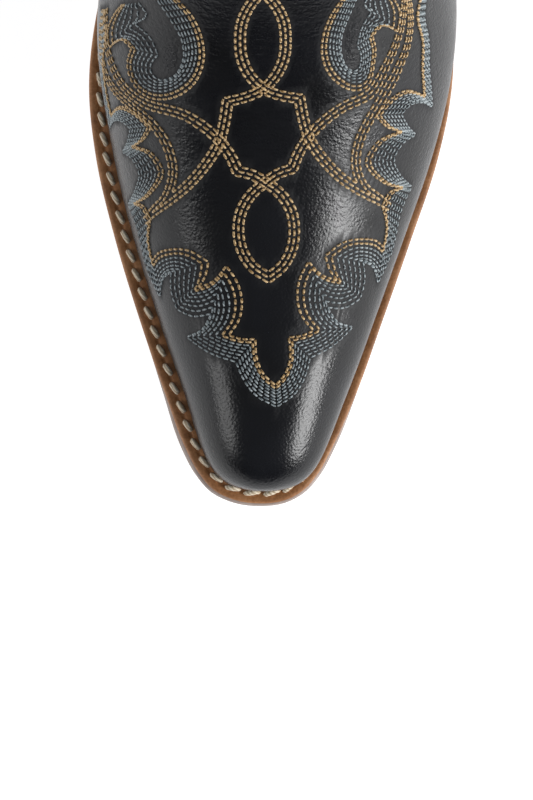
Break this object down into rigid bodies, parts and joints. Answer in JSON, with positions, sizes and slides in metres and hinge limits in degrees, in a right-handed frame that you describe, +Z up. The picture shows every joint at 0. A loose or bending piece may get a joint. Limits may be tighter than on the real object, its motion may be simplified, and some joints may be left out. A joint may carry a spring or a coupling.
{
  "type": "cowboy boot",
  "caption": "Left western boot with pointed snip toe, stitched vamp, welted leather sole, stacked heel, tall shaft and hinged pull straps.",
  "frame": {"origin": "centre of the boot's bounding box at floor level", "axes": "+Z up; -Y towards the toe; +Y towards the heel; -X towards the inner side of the foot"},
  "size_m": [0.1038, 0.3046, 0.3632],
  "materials": {
    "black_leather": "smooth black calf leather, polished",
    "lining_leather": "undyed tan lining leather",
    "tan_leather": "tan sole leather, waxed edges",
    "board": "pressed leather board",
    "cork": "granulated cork",
    "rubber": "matte black rubber",
    "steel": "plain spring steel",
    "brass": "brass nail",
    "cream_thread": "waxed cream thread"
  },
  "bodies": {
    "boot": {"vamp": "black_leather", "counter_cover": "black_leather", "shaft_front": "black_leather", "shaft_back": "black_leather", "top_binding": "black_leather", "side_piping_medial": "black_leather", "side_piping_lateral": "black_leather", "medial_strap_outer_leg": "black_leather", "medial_strap_inner_leg": "black_leather", "lateral_strap_outer_leg": "black_leather", "lateral_strap_inner_leg": "black_leather", "toe_puff": "board", "counter_stiffener": "board", "vamp_lining": "lining_leather", "heel_lining": "lining_leather", "shaft_lining_front": "lining_leather", "shaft_lining_back": "lining_leather", "sock_liner": "lining_leather", "insole": "board", "cork_filler": "cork", "shank": "steel", "welt": "tan_leather", "welt_thread": "cream_thread", "heel_rand": "tan_leather", "outsole": "tan_leather", "heel_lift_1": "tan_leather", "heel_lift_2": "tan_leather", "heel_lift_3": "tan_leather", "heel_lift_4": "tan_leather", "heel_cap": "rubber", "heel_nail_1": "brass", "heel_nail_2": "brass", "heel_nail_3": "brass", "heel_nail_4": "brass", "heel_nail_5": "brass"},
    "medial_loop": {"medial_strap_loop": "black_leather"},
    "lateral_loop": {"lateral_strap_loop": "black_leather"}
  },
  "joints": [
    {"name": "medial_loop_tilt", "type": "hinge", "parent": "boot", "child": "medial_loop", "pos_m": [-0.04572, 0.07778, 0.341], "axis": [0, -1, 0], "range_deg": [-40, 40], "stiffness_Nm_per_rad": 0.02},
    {"name": "lateral_loop_tilt", "type": "hinge", "parent": "boot", "child": "lateral_loop", "pos_m": [0.04572, 0.07778, 0.341], "axis": [0, 1, 0], "range_deg": [-40, 40], "stiffness_Nm_per_rad": 0.02}
  ]
}
